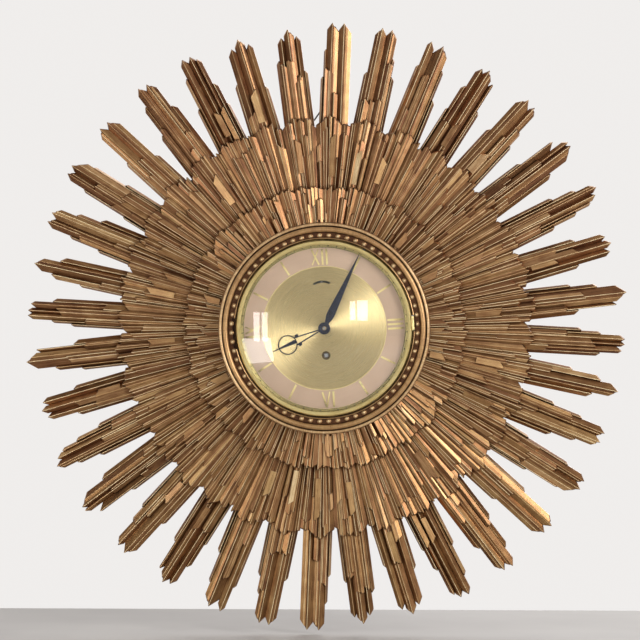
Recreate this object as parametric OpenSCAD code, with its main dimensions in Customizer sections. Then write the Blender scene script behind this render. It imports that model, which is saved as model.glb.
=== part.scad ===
// Sunburst wall clock: a moulded gilt sunburst frame round a key-wound eight-day
// lever clock behind a hinged, domed glass. The part hangs from its origin, where the
// hanging wire meets its nail at the wall. Inside face_on() the clock is drawn as it is
// seen from the front: x to the right, y up, z out of the wall, hands' axis at x = y = 0.

/* [Sunburst] */
// Radius of the longest ray tips
tip_r = 355.5; // [330:0.5:380]
// Radius where the gaps between the rays end
gap_r = 236; // [225:1:240]
// Radius of the middle tier's scalloped edge
middle_r = 248; // [244:1:256]
// Radius of the inner tier's scalloped edge
inner_r = 166; // [150:1:180]
// Height of the rays' backs above the wall
ray_back = 8; // [6:0.5:10]
// Height of the rays' faces above the wall
ray_face = 20; // [16:0.5:24]
// Height of the middle tier's face above the wall
middle_face = 29; // [26:0.5:32]
// Height of the inner tier's face above the wall
inner_face = 40; // [36:0.5:42]

/* [Beaded ring] */
// Outer radius of the beaded ring
ring_r = 123; // [120:0.5:128]
// Radius of the circle of beads
bead_circle_r = 107.9; // [107.4:0.1:108.4]
// Number of beads
bead_count = 64; // [56:1:72]
// Radius of one bead
bead_r = 2.2; // [1.8:0.1:2.4]
// Radius of the well that holds the clock
well_r = 104; // [103.8:0.1:104.4]
// Radius of the bore behind the dial
bore_r = 90; // [80:1:92]

/* [Dial] */
// Turn of the whole clock in its frame, anticlockwise from upright
clock_turn = 3.5; // [0:0.5:5]
// Radius of the dial plate
dial_r = 98; // [97:0.1:98.2]
// Inner radius of the chapter ring
chapter_in = 71.7; // [68:0.1:74]
// Outer radius of the chapter ring
chapter_out = 93.6; // [92:0.1:94]
// Distance of the winding square below the hands' axis
winding_drop = 31.7; // [31.5:0.1:31.8]
// Radius of the winding hole in the dial
winding_hole_r = 5; // [4:0.1:6]
// Width across the flats of the winding square
winding_square = 4.2; // [3.6:0.1:4.25]
// Distance of the balance above the hands' axis
balance_rise = 35; // [34.9:0.1:35.1]
// Radius of the regulator slot about the balance
regulator_r = 19; // [17:0.5:20]
// Half the angle of the regulator slot
slot_half_angle = 27; // [25:1:30]

/* [Hands] */
// Where the minute hand points, clockwise from straight up
minute_angle = 25.2; // [0:0.1:360]
// Where the hour hand points, clockwise from straight up
hour_angle = 245.4; // [0:0.1:360]
// Length of the minute hand
minute_len = 96.5; // [90:0.5:96.5]
// Length of the hour hand
hour_len = 68.4; // [60:0.1:70]

/* [Glass and bezel] */
// Outer radius of the bezel
bezel_r = 101.5; // [101:0.1:101.7]
// Radius of the bezel's opening
sight_r = 97; // [96:0.1:97.4]
// Height of the glass's crown above the wall
crown_z = 71.2; // [68:0.1:76]
// Thickness of the glass
glass_t = 1.8; // [1.5:0.1:2]

/* [Hidden] */
$fn = 96;

brass = "goldenrod";
bright_brass = "gold";
steel = "silver";
gilt = "darkgoldenrod";
blued = "midnightblue";
eps = 0.01;
run_fit = 0.05; // radial clearance of every running fit

// Height of the origin, the inside of the hanging wire's top, above the hands' axis
hang_h = 257;
wire_r = 0.9;
wire_z = 4;
wire_bend_r = 5;
eye_x = 58;
eye_y = 180;
eye_ring_r = 3;
eye_wire_r = 1;

// Heights above the wall
cover_z = 2;
cover_t = 1.4;
ledge_z = 46;
flange_t = 1.2;
dial_z = ledge_z + flange_t;
dial_t = 1;
dial_face = dial_z + dial_t;
chapter_t = 0.6;
back_plate_z = 17;
front_plate_z = 41;
plate_t = 2;
inner_lo = back_plate_z + plate_t;
inner_hi = front_plate_z;
plate_front = front_plate_z + plate_t;
shake = 0.2; // end play of each arbor

// One ray: [direction clockwise from up, width, sticks]; each stick from left to right is
// [share of the width, how far its tip falls short of tip_r, where its peak stands, 0 to 1].
RAYS = [
    [2.2, 34, [[.08, 63, .8], [.08, 31, .8], [.40, 0, .45], [.44, 0, .42]]],
    [12, 36, [[.10, 54, .8], [.36, 0, .55], [.36, 0, .45], [.08, 33, .2], [.10, 54, .2]]],
    [22.3, 37, [[.08, 31, .8], [.26, 0, .4], [.48, 0, .5], [.08, 27, .2], [.10, 63, .2]]],
    [32.3, 37, [[.06, 63, .8], [.12, 30, .8], [.24, 3, .6], [.34, 0, .4], [.14, 12, .7],
        [.10, 48, .2]]],
    [42.6, 36, [[.10, 55, .8], [.46, 0, .55], [.28, 2, .4], [.08, 35, .2], [.08, 54, .2]]],
    [53.1, 37, [[.08, 59, .8], [.22, 14, .2], [.16, 0, .7], [.40, 0, .25], [.14, 38, .2]]],
    [63.4, 36, [[.10, 52, .8], [.10, 24, .8], [.28, 0, .55], [.22, 5, .4], [.10, 14, .3],
        [.10, 34, .2], [.10, 64, .2]]],
    [73.5, 35, [[.12, 48, .8], [.24, 13, .5], [.26, 8, .5], [.26, 12, .5], [.12, 51, .2]]],
    [83.5, 36, [[.08, 66, .8], [.12, 35, .8], [.52, 2, .5], [.12, 15, .8], [.16, 59, .2]]],
    [93.1, 32, [[.10, 57, .8], [.10, 34, .8], [.22, 6, .6], [.20, 6, .5], [.24, 9, .6],
        [.14, 34, .2]]],
    [102.1, 30, [[.10, 63, .8], [.20, 28, .8], [.50, 6, .5], [.20, 35, .2]]],
    [112, 39, [[.08, 74, .8], [.08, 38, .8], [.30, 7, .5], [.32, 8, .45], [.10, 36, .2],
        [.12, 65, .2]]],
    [122, 37, [[.06, 86, .8], [.08, 30, .8], [.30, 4, .5], [.44, 3, .3], [.05, 27, .2],
        [.07, 69, .2]]],
    [132.3, 35, [[.10, 54, .8], [.40, 4, .55], [.40, 5, .35], [.10, 73, .2]]],
    [142.5, 38, [[.11, 61, .8], [.13, 23, .8], [.30, 1, .5], [.32, 3, .4], [.14, 40, .2]]],
    [152.9, 38, [[.08, 61, .8], [.10, 23, .8], [.26, 1, .5], [.24, 2, .5], [.14, 8, .3],
        [.12, 42, .2], [.06, 70, .2]]],
    [162.8, 37, [[.10, 54, .8], [.26, 13, .6], [.34, 4, .5], [.22, 13, .5], [.08, 66, .2]]],
    [172.6, 35, [[.12, 40, .8], [.24, 14, .6], [.34, 5, .45], [.20, 14, .4], [.10, 55, .2]]]
];
peak_slope = 1.35; // fall of a stick's top per unit of width away from its peak
tier_steps = [0, 5, 2, 8, 3, 10, 6, 1, 7]; // fall of the scalloped edge across one ray's pitch

// Places of the movement's arbors, seen from the front
centre_at = [0, 0];
barrel_at = [0, -winding_drop];
balance_at = [0, balance_rise];
escape_at = [-13.40, 30.10];
pallet_at = [-7.50, 32.30];
click_at = [14.2, -24.0];

// Teeth and modules of each meshing pair: [wheel, pinion, module]
great = [72, 12, 0.6];
second = [60, 12, 0.5];
centre = [80, 10, 0.4];
third = [75, 10, 0.38];
fourth = [80, 8, 0.28];
cannon = [36, 12, 0.45];
hour = [48, 12, 0.36];

function mesh_distance(pair) = (pair[0] + pair[1]) * pair[2] / 2;
function heading(p, q) = atan2(q[1] - p[1], q[0] - p[0]);
function reach(p, q) = norm(q - p);
// Where two circles about p and q cross, on the right of the line from p to q
function crossing(p, rp, q, rq) =
    let (d = reach(p, q), along = (rp * rp - rq * rq + d * d) / (2 * d),
        across = sqrt(rp * rp - along * along), u = (q - p) / d)
    p + along * u + across * [u[1], -u[0]];
// Turn that puts a follower's teeth in the gaps of a driver turned by driver_turn
function in_mesh(toward, driver_turn, driver_n, follower_n) =
    toward + 180 - (0.5 - (toward - driver_turn) * driver_n / 360) * 360 / follower_n;
function clockwise(p, t) = [p[0] * cos(t) + p[1] * sin(t), p[1] * cos(t) - p[0] * sin(t)];

intermediate_at = crossing(barrel_at, mesh_distance(great), centre_at, mesh_distance(second));
third_at = mesh_distance(centre) * [cos(150), sin(150)];
fourth_at = crossing(escape_at, mesh_distance(fourth), third_at, mesh_distance(third));
minute_wheel_at = mesh_distance(cannon) * [cos(-30), sin(-30)];

module face_on() {
    translate([0, 0, -hang_h]) rotate([90, 0, 0]) children();
}

module in_clock() {
    face_on() rotate(clock_turn) children();
}

module at(place, z = 0) {
    translate([place[0], place[1], z]) children();
}

module disc(r, z0, z1) {
    translate([0, 0, z0]) cylinder(r = r, h = z1 - z0);
}

module ring(r_in, r_out, z0, z1) {
    difference() {
        disc(r_out, z0, z1);
        disc(r_in, z0 - 1, z1 + 1);
    }
}

// A bar of rectangular section from r0 to r1 along the direction angle
module bar(angle, r0, r1, width, z0, z1) {
    rotate(angle) translate([r0, -width / 2, z0]) cube([r1 - r0, width, z1 - z0]);
}

module arc_slot(radius, width, middle, half_angle, z0, z1) {
    rotate(middle - half_angle) translate([0, 0, z0])
        rotate_extrude(angle = 2 * half_angle)
            translate([radius - width / 2, 0]) square([width, z1 - z0]);
    for (end = [middle - half_angle, middle + half_angle])
        rotate(end) translate([radius, 0, z0]) cylinder(r = width / 2, h = z1 - z0);
}

// ---- sunburst ----

// Start of each stick's share of the width, with 1 at the end
function starts(sticks, i = 0, from = 0) =
    i == len(sticks) ? [from] : concat([from], starts(sticks, i + 1, from + sticks[i][0]));

function ray_outline(ray) =
    let (w = ray[1], sticks = ray[2], edge = starts(sticks))
    concat([[-w / 2, gap_r]],
        [for (i = [0:len(sticks) - 1], k = [0:2])
            let (s = sticks[i], share = [0, s[2], 1][k],
                fall = abs(share - s[2]) * s[0] * w * peak_slope)
            [(edge[i] + share * s[0] - 0.5) * w, tip_r - s[1] - fall]],
        [[w / 2, gap_r]]);

function all_rays() =
    [for (half = [0, 180], ray = RAYS, p = ray_outline(ray)) clockwise(p, ray[0] + half)];

function scallops(edge_r) =
    [for (k = [0:35], i = [0:len(tier_steps) - 1])
        clockwise([0, edge_r - tier_steps[i]], 10 * k - 2.5 + 10 * i / len(tier_steps))];

module tier(outline, z0, z1) {
    translate([0, 0, z0]) linear_extrude(z1 - z0) polygon(outline);
}

module ring_section() {
    polygon([
        [cover_r() + 0.4, 0], [130, 0], [134, ray_back + 4], [ring_r, inner_face + 3],
        [ring_r, 55], [121.8, 57.6], [119.4, 57.6], [118.4, 56.2], [117.4, 59], [115, 60],
        [112.6, 59], [111.6, 56.3], [well_r + 1, 56.3], [well_r + 1, 58], [well_r, 58],
        [well_r, ledge_z], [bore_r, ledge_z], [bore_r, cover_z + cover_t],
        [cover_r() + 0.4, cover_z + cover_t]
    ]);
}

function cover_r() = bore_r + 10.6;

module sunburst_frame() {
    bead_floor = 56.3;
    color(gilt) face_on() difference() {
        union() {
            difference() {
                union() {
                    tier(all_rays(), ray_back, ray_face);
                    tier(scallops(middle_r), ray_back + 1, middle_face);
                    tier(scallops(inner_r), ray_back + 2, inner_face);
                }
                disc(ring_r - 8, 0, 60);
            }
            rotate_extrude() ring_section();
            for (i = [0:bead_count - 1])
                rotate(360 * i / bead_count) translate([bead_circle_r, 0, bead_floor - eps])
                    cylinder(r = bead_r, h = 2.4);
        }
        rotate(clock_turn) {
            // finger notch on the left and hinge notch on the right
            translate([-well_r - 2, -18, 52]) cube([6, 36, 12]);
            translate([well_r - 2, -9.5, 56]) cube([4.2, 19, 8]);
            for (a = pan_screw_angles)
                rotate(a) translate([pan_screw_r, 0, 34]) cylinder(r = 1.15, h = 14);
            for (a = cover_screw_angles)
                rotate(a) translate([cover_screw_r(), 0, 1]) cylinder(r = 1.15, h = 14);
        }
        for (side = [-1, 1])
            translate([side * eye_x, eye_y, ray_back - 1]) cylinder(r = 1.05, h = 9);
    }
}

// ---- hanging ----

// Angle of the wire's two legs from upright
leg_angle = atan2(eye_x - wire_bend_r, hang_h - eye_y);
bend_at = [0, hang_h - wire_bend_r + wire_r];
leg_run = (bend_at[1] - eye_y) / cos(leg_angle) + 2;

// The wire's middle line: up the left leg, round the bend and down the right leg
function wire_route() =
    let (bend = [for (i = [0:12])
        let (a = 180 - leg_angle - i * (180 - 2 * leg_angle) / 12)
        bend_at + wire_bend_r * [cos(a), sin(a)]])
    concat([bend[0] + leg_run * [-sin(leg_angle), -cos(leg_angle)]], bend,
        [bend[12] + leg_run * [sin(leg_angle), -cos(leg_angle)]]);

// A round tube of radius r along a flat route at height z
module flat_tube(route, r, z, sides = 12) {
    last = len(route) - 1;
    points = [for (i = [0:last], k = [0:sides - 1])
        let (d = route[min(i + 1, last)] - route[max(i - 1, 0)], n = [-d[1], d[0]] / norm(d),
            a = 360 * k / sides)
        [route[i][0] + r * cos(a) * n[0], route[i][1] + r * cos(a) * n[1], z + r * sin(a)]];
    walls = [for (i = [0:last - 1], k = [0:sides - 1]) let (m = (k + 1) % sides)
        [i * sides + k, i * sides + m, (i + 1) * sides + m, (i + 1) * sides + k]];
    ends = [[for (k = [sides - 1:-1:0]) k], [for (k = [0:sides - 1]) last * sides + k]];
    polyhedron(points, concat(walls, ends));
}

module hanging_wire() {
    color(steel) face_on() flat_tube(wire_route(), wire_r, wire_z);
}

module wire_eyes() {
    color(steel) face_on() for (side = [-1, 1])
        translate([side * eye_x, eye_y, 0]) union() {
            translate([0, 0, wire_z]) rotate(side * (leg_angle - 90)) rotate([0, 90, 0])
                rotate_extrude() translate([eye_ring_r, 0]) circle(r = eye_wire_r);
            disc(0.9, wire_z + eye_ring_r, ray_back + 7.6);
        }
}

// ---- fixed case parts ----

pan_screw_r = 101;
pan_screw_angles = [60, 180, 300];
cover_screw_angles = [45, 135, 225, 315];
function cover_screw_r() = bore_r + 6.5;

module dial_pan() {
    color(brass) in_clock() difference() {
        union() {
            ring(bore_r - 4, well_r - 0.6, ledge_z, dial_z);
            ring(bore_r - 1.6, bore_r - 0.4, ledge_z - 12, ledge_z + eps);
        }
        for (a = pan_screw_angles)
            rotate(a) translate([pan_screw_r, 0, ledge_z - 1]) cylinder(r = 1.25, h = 4);
        for (y = hinge_screw_y)
            translate([hinge_screw_x, y, ledge_z - 1]) cylinder(r = 0.85, h = 4);
    }
}

module screw(r, head_r, head_t, length, slot = 0.5) {
    difference() {
        union() {
            translate([0, 0, -length]) cylinder(r = r, h = length);
            cylinder(r = head_r, h = head_t);
        }
        translate([-head_r - 1, -slot / 2, head_t * 0.55]) cube([2 * head_r + 2, slot, head_t]);
    }
}

module pan_screws() {
    color(steel) in_clock() for (a = pan_screw_angles)
        rotate(a) translate([pan_screw_r, 0, dial_z]) screw(1.1, 1.9, 1, 12);
}

module back_cover() {
    color(steel) in_clock() difference() {
        disc(cover_r(), cover_z, cover_z + cover_t);
        for (a = cover_screw_angles)
            rotate(a) translate([cover_screw_r(), 0, 0]) cylinder(r = 1.3, h = 6);
    }
}

module cover_screws() {
    color(steel) in_clock() for (a = cover_screw_angles)
        rotate(a) translate([cover_screw_r(), 0, cover_z]) mirror([0, 0, 1])
            screw(1.1, 2.4, 1.2, 11);
}

// ---- bezel and glass ----

hinge_x = 103;
hinge_z = 59.4;
knuckle_r = 1.9;
hinge_pin_r = 0.8;
hinge_half = 8;
knuckle_half = 3.9;
hinge_screw_x = 100.9;
hinge_screw_y = [-5.4, 5.4];
bezel_lo = 50;
bezel_face = 60.6;
skirt_t = 1.2;
lip_t = 2.3;
glass_r = 99.8;
glass_edge_z = 57.4;
glass_rise = crown_z - glass_edge_z;
glass_sphere_r = (glass_r * glass_r + glass_rise * glass_rise) / (2 * glass_rise);

module along_hinge(y0, y1) {
    translate([hinge_x, y1, hinge_z]) rotate([90, 0, 0]) children();
}

module knuckle(y0, y1) {
    along_hinge(y0, y1) difference() {
        cylinder(r = knuckle_r, h = y1 - y0);
        translate([0, 0, -1]) cylinder(r = hinge_pin_r + run_fit, h = y1 - y0 + 2);
    }
}

module bezel_ring() {
    color(bright_brass) in_clock() difference() {
        union() {
            difference() {
                rotate_extrude() polygon([
                    [bezel_r - skirt_t, bezel_lo], [bezel_r, bezel_lo],
                    [bezel_r, bezel_face - 1], [bezel_r - 1, bezel_face],
                    [sight_r + 1.6, bezel_face], [sight_r, bezel_face - 1.2],
                    [sight_r, bezel_face - lip_t], [bezel_r - skirt_t, bezel_face - lip_t]
                ]);
                along_hinge(-hinge_half - 0.5, hinge_half + 0.5)
                    cylinder(r = knuckle_r + 0.3, h = 2 * hinge_half + 1);
            }
            translate([bezel_r - 0.8, -knuckle_half, hinge_z - 0.9])
                cube([hinge_x - bezel_r, 2 * knuckle_half, 1.8]);
            knuckle(-knuckle_half, knuckle_half);
        }
        along_hinge(-20, 20) translate([0, 0, -1])
            cylinder(r = hinge_pin_r + run_fit, h = 42);
    }
}

module hinge_leaf() {
    upright_x = 102.4;
    color(brass) in_clock() difference() {
        union() {
            translate([98.4, -hinge_half, dial_z]) cube([5, 2 * hinge_half, 1]);
            translate([upright_x, -hinge_half, dial_z])
                cube([1, 2 * hinge_half, hinge_z - dial_z - 2.6]);
            for (y0 = [-hinge_half, knuckle_half + 0.2]) {
                translate([upright_x, y0, dial_z])
                    cube([1, hinge_half - knuckle_half - 0.2, hinge_z - dial_z - 1]);
                knuckle(y0, y0 + hinge_half - knuckle_half - 0.2);
            }
        }
        along_hinge(-20, 20) translate([0, 0, -1])
            cylinder(r = hinge_pin_r + run_fit, h = 42);
        for (y = hinge_screw_y)
            translate([hinge_screw_x, y, dial_z - 1]) cylinder(r = 0.85, h = 4);
    }
}

module hinge_pin() {
    color(steel) in_clock() along_hinge(-hinge_half, hinge_half) union() {
        cylinder(r = hinge_pin_r, h = 2 * hinge_half);
        translate([0, 0, -0.8]) cylinder(r = 1.5, h = 0.8);
    }
}

module hinge_screws() {
    color(steel) in_clock() for (y = hinge_screw_y)
        translate([hinge_screw_x, y, dial_z + 1]) screw(0.8, 1.5, 0.8, 2.1);
}

module domed_glass() {
    centre_z = crown_z - glass_sphere_r;
    color("lightcyan", 0.35) in_clock() intersection() {
        difference() {
            translate([0, 0, centre_z]) sphere(r = glass_sphere_r, $fn = 256);
            translate([0, 0, centre_z]) sphere(r = glass_sphere_r - glass_t, $fn = 256);
        }
        disc(glass_r, 52, 80);
    }
}

module glass_retainer() {
    color(bright_brass) in_clock() ring(97.4, 100.25, 53.8, 55.4);
}

// ---- dial ----

module dial_plate() {
    color(bright_brass) in_clock() difference() {
        disc(dial_r, dial_z, dial_face);
        disc(4.6, 40, 60);
        at(barrel_at) disc(winding_hole_r, 40, 60);
        at(balance_at) arc_slot(regulator_r, 2.4, 90, slot_half_angle, 40, 60);
    }
}

module chapter_ring() {
    color("mistyrose") in_clock() ring(chapter_in, chapter_out, dial_face, dial_face + chapter_t);
}

numeral_z = dial_face + chapter_t;
numeral_t = 0.9;
numeral_mid = (chapter_in + chapter_out) / 2;
numeral_h = 18.5;

// One stroke of a numeral between two points given across and up from its middle
module stroke(p, q, width) {
    translate([(p[0] + q[0]) / 2, (p[1] + q[1]) / 2, 0])
        rotate(atan2(q[1] - p[1], q[0] - p[0]) - 90)
            translate([-width / 2, -norm(q - p) / 2, 0]) cube([width, norm(q - p), numeral_t]);
}

module one(x) {
    stroke([x, -numeral_h / 2], [x, numeral_h / 2], 2.3);
}

module ten(x) {
    top = numeral_h / 2 - 0.3;
    stroke([x + 3.9, -top], [x - 3.9, top], 2.1);
    stroke([x - 3.9, -top], [x + 3.9, top], 1.3);
}

module five(x) {
    top = numeral_h / 2 - 0.3;
    stroke([x - 4.3, top], [x - 0.1, -top], 2.1);
    stroke([x + 4.3, top], [x + 0.3, -top], 1.5);
}

module numeral_at(clock_angle, upright = 0) {
    rotate(-clock_angle) translate([0, numeral_mid, numeral_z]) rotate(upright) children();
}

module hour_numerals() {
    color(bright_brass) in_clock() union() {
        numeral_at(0) {
            ten(-5.6);
            one(2.6);
            one(7.6);
        }
        numeral_at(90) for (x = [-5, 0, 5]) one(x);
        numeral_at(180, 180) {
            five(-2.6);
            one(5.8);
        }
        numeral_at(270) {
            one(-5);
            ten(2.8);
        }
    }
}

module hour_batons() {
    color(bright_brass) in_clock() for (h = [0:11]) if (h % 3 != 0)
        numeral_at(30 * h) translate([-1.15, -numeral_h / 2, 0])
            cube([2.3, numeral_h, numeral_t]);
}

module minute_dots() {
    color(bright_brass) in_clock() for (i = [0:59])
        rotate(6 * i) translate([95.6, 0, dial_face]) cylinder(r = 0.9, h = 0.8);
}

dial_foot_places = [[-31, -14], [31, -26], [29, 40]];

module dial_feet() {
    color(brass) in_clock() for (p = dial_foot_places) at(p) union() {
        disc(1.8, plate_front, dial_z);
        disc(1.2, front_plate_z - 1.5, plate_front + eps);
    }
}

// ---- movement plates ----

plate_w = 80;
plate_lo = -58;
plate_hi = 50;
plate_corner = 6;
pillar_places = [[-34, -52], [34, -52], [-34, 44], [34, 44]];

module plate_blank(z) {
    translate([-plate_w / 2 + plate_corner, plate_lo, z])
        cube([plate_w - 2 * plate_corner, plate_hi - plate_lo, plate_t]);
    translate([-plate_w / 2, plate_lo + plate_corner, z])
        cube([plate_w, plate_hi - plate_lo - 2 * plate_corner, plate_t]);
    for (x = [-1, 1], y = [plate_lo + plate_corner, plate_hi - plate_corner])
        translate([x * (plate_w / 2 - plate_corner), y, z])
            cylinder(r = plate_corner, h = plate_t);
}

// [place, pivot radius] of the arbors that run in both plates
PIVOTS = [[intermediate_at, 0.9], [third_at, 0.7], [fourth_at, 0.6], [escape_at, 0.5],
    [balance_at, 0.4]];

module pivot_holes() {
    for (p = PIVOTS) at(p[0]) disc(p[1] + run_fit, 0, 60);
    at(barrel_at) disc(barrel_arbor_r + run_fit, 0, 60);
}

module front_plate() {
    color(brass) in_clock() difference() {
        union() plate_blank(front_plate_z);
        pivot_holes();
        disc(centre_r + run_fit, 0, 60);
        for (p = pillar_places) at(p) disc(1.5, 0, 60);
        for (p = dial_foot_places) at(p) disc(1.2, 0, 60);
        at(minute_wheel_at) disc(1, 0, 60);
        at(balance_at) arc_slot(curb_r, 2, -90, slot_half_angle, 40, 50);
    }
}

module back_plate() {
    color(brass) in_clock() difference() {
        union() plate_blank(back_plate_z);
        pivot_holes();
        disc(centre_pivot_r + run_fit, 0, 60);
        at(pallet_at) disc(pallet_pivot_r + run_fit, 0, 60);
        for (p = pillar_places) at(p) disc(1.25, 0, 60);
        at(click_at) disc(1, 0, 60);
    }
}

module plate_pillars() {
    color(brass) in_clock() for (p = pillar_places) at(p) union() {
        disc(3, inner_lo, inner_hi);
        disc(1.5, inner_hi - eps, plate_front);
        disc(1.2, back_plate_z - 2.6, inner_lo + eps);
    }
}

module plate_nuts() {
    color(steel) in_clock() for (p = pillar_places) at(p) difference() {
        translate([0, 0, back_plate_z - 2]) cylinder(r = 3.2, h = 2, $fn = 6);
        disc(1.25, 0, 60);
    }
}

// ---- wheels ----

function tooth_points(n, m, add, ded, thick) =
    [for (i = [0:n - 1], k = [0:5])
        let (a = (i + [-0.62, -0.5, -0.22, 0.22, 0.5, 0.62][k] * thick) * 360 / n,
            r = n * m / 2 + [-ded, 0, add, add, 0, -ded][k] * m)
        [r * cos(a), r * sin(a)]];

module wheel_teeth(n, m, z0, z1, turn = 0) {
    rotate(turn) translate([0, 0, z0]) linear_extrude(z1 - z0)
        polygon(tooth_points(n, m, 0.95, 1.2, 0.42));
}

module pinion_teeth(n, m, z0, z1, turn) {
    add = n < 12 ? 0.6 : 0.75;
    rotate(turn) translate([0, 0, z0]) linear_extrude(z1 - z0)
        polygon(tooth_points(n, m, add, 1.25, 0.36));
}

// A wheel with its rim crossed out to straight arms and a hub for its arbor
module crossed_wheel(n, m, z0, z1, bore, turn = 0, arms = 5) {
    root_r = n * m / 2 - 1.2 * m;
    hub_r = bore + 1.6;
    rim = 1.3;
    difference() {
        wheel_teeth(n, m, z0, z1, turn);
        difference() {
            disc(root_r - rim, z0 - 1, z1 + 1);
            disc(hub_r, z0 - 2, z1 + 2);
            for (i = [0:arms - 1])
                bar(360 * i / arms + turn, 0, root_r, 1.3, z0 - 2, z1 + 2);
        }
        disc(bore, z0 - 1, z1 + 1);
    }
}

// Shaft between the plates with a pivot in each
module arbor(r, pivot_r, lo = inner_lo, hi = inner_hi) {
    disc(r, lo + shake, hi - shake);
    disc(pivot_r, lo - plate_t + shake, lo + shake + eps);
    disc(pivot_r, hi - shake - eps, hi + plate_t - shake);
}

barrel_arbor_r = 3;
great_lo = 31.6;
great_hi = 33.4;
drum_r = 20.2;
drum_lo = 21.4;

module spring_barrel() {
    color(brass) in_clock() at(barrel_at) difference() {
        union() {
            wheel_teeth(great[0], great[2], great_lo, great_hi);
            ring(drum_r - 1.2, drum_r, drum_lo, great_lo + eps);
        }
        disc(barrel_arbor_r + run_fit, 0, 60);
    }
}

module barrel_cover() {
    color(brass) in_clock() at(barrel_at)
        ring(barrel_arbor_r + run_fit, drum_r, drum_lo - 1.4, drum_lo);
}

module mainspring() {
    turns = 7;
    steps = 24 * turns;
    strip = 0.7;
    outline = [for (side = [0, 1], j = [0:steps])
        let (i = side == 0 ? j : steps - j, a = 360 * turns * i / steps,
            r = 5.9 + 12.1 * i / steps + side * strip)
        [r * cos(a), r * sin(a)]];
    color("slategray") in_clock() at(barrel_at, drum_lo + 0.5)
        linear_extrude(great_lo - drum_lo - 1) polygon(outline);
}

module winding_arbor() {
    square_lo = plate_front + 0.2;
    color(steel) in_clock() at(barrel_at) union() {
        disc(barrel_arbor_r, 13.6, square_lo);
        disc(5, drum_lo + 0.3, great_lo - 0.3);
        translate([-winding_square / 2, -winding_square / 2, square_lo - eps])
            cube([winding_square, winding_square, dial_z - square_lo - 0.4]);
    }
}

ratchet_n = 24;
ratchet_tip = 9;
ratchet_root = 7.7;
ratchet_lo = 14.4;
ratchet_hi = 16.6;

module ratchet_wheel() {
    teeth = [for (i = [0:ratchet_n - 1], k = [0, 1])
        let (a = (i + 0.06 * k) * 360 / ratchet_n, r = k == 0 ? ratchet_root : ratchet_tip)
        [r * cos(a), r * sin(a)]];
    color(steel) in_clock() at(barrel_at, ratchet_lo) difference() {
        linear_extrude(ratchet_hi - ratchet_lo) polygon(teeth);
        translate([0, 0, -1]) cylinder(r = barrel_arbor_r, h = 5);
    }
}

module click() {
    toward = heading(click_at, barrel_at);
    tip = reach(click_at, barrel_at) - ratchet_tip - 0.45;
    color(steel) in_clock() at(click_at, ratchet_lo + 0.2) rotate(toward) difference() {
        union() {
            cylinder(r = 2.6, h = 1.8);
            linear_extrude(1.8) polygon([[0, -2.4], [tip, -0.5], [tip, 0.5], [0, 2.4]]);
            linear_extrude(1.8) polygon([[0, -1], [-6.5, 0.4], [-6.5, 2], [0, 2]]);
        }
        translate([0, 0, -1]) cylinder(r = 1.4 + run_fit, h = 5);
    }
}

module click_screw() {
    color(steel) in_clock() at(click_at) union() {
        disc(1.4, ratchet_lo - 0.1, back_plate_z);
        disc(1, back_plate_z - eps, inner_lo - 0.2);
        disc(2.6, ratchet_lo - 1.1, ratchet_lo - 0.1);
    }
}

module click_spring() {
    toward = heading(click_at, barrel_at);
    gap = 1.6; // room for the click's tail, which lifts towards the spring
    color("slategray") in_clock() at(click_at, ratchet_lo + 0.4) rotate(toward) union() {
        translate([-7, 2 + gap, 0]) cube([12, 0.5, 1.2]);
        translate([1, 2 + gap, 0]) cube([4, 3.4, back_plate_z - ratchet_lo - 0.4]);
    }
}

// ---- going train ----

second_lo = 35;
second_hi = 36;
centre_r = 1.75;
centre_pivot_r = 1.2;
centre_lo = 38;
centre_hi = 39;
third_lo = 28.5;
third_hi = 29.5;
fourth_lo = 24;
fourth_hi = 24.8;
escape_lo = 26.6;
escape_hi = 27.4;

module intermediate_pinion() {
    turn = in_mesh(heading(barrel_at, intermediate_at), 0, great[0], great[1]);
    color(steel) in_clock() at(intermediate_at) union() {
        arbor(1.1, 0.9);
        pinion_teeth(great[1], great[2], great_lo - 0.3, second_lo, turn);
    }
}

module intermediate_wheel() {
    color(brass) in_clock() at(intermediate_at)
        crossed_wheel(second[0], second[2], second_lo, second_hi, 1.1);
}

module centre_arbor() {
    turn = in_mesh(heading(intermediate_at, centre_at), 0, second[0], second[1]);
    color(steel) in_clock() union() {
        disc(centre_r, inner_lo + shake, 53.6);
        disc(centre_pivot_r, inner_lo - plate_t + shake, inner_lo + shake + eps);
        disc(1.4, 53.6 - eps, 56.6);
        pinion_teeth(second[1], second[2], second_lo - 0.5, second_hi + 0.5, turn);
    }
}

module centre_wheel() {
    color(brass) in_clock()
        crossed_wheel(centre[0], centre[2], centre_lo, centre_hi, centre_r);
}

module third_pinion() {
    turn = in_mesh(heading(centre_at, third_at), 0, centre[0], centre[1]);
    color(steel) in_clock() at(third_at) union() {
        arbor(1.1, 0.7);
        pinion_teeth(centre[1], centre[2], centre_lo - 0.6, centre_hi + 0.6, turn);
    }
}

module third_wheel() {
    color(brass) in_clock() at(third_at)
        crossed_wheel(third[0], third[2], third_lo, third_hi, 1.1);
}

module fourth_pinion() {
    turn = in_mesh(heading(third_at, fourth_at), 0, third[0], third[1]);
    color(steel) in_clock() at(fourth_at) union() {
        arbor(0.9, 0.6);
        pinion_teeth(third[1], third[2], third_lo - 0.5, third_hi + 0.5, turn);
    }
}

module fourth_wheel() {
    color(brass) in_clock() at(fourth_at)
        crossed_wheel(fourth[0], fourth[2], fourth_lo, fourth_hi, 0.9, 0, 4);
}

module escape_pinion() {
    turn = in_mesh(heading(fourth_at, escape_at), 0, fourth[0], fourth[1]);
    color(steel) in_clock() at(escape_at) union() {
        arbor(0.7, 0.5);
        pinion_teeth(fourth[1], fourth[2], fourth_lo - 0.5, fourth_hi + 0.5, turn);
    }
}

escape_n = 15;
escape_tip = 4.9;
escape_root = 3.6;

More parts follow.
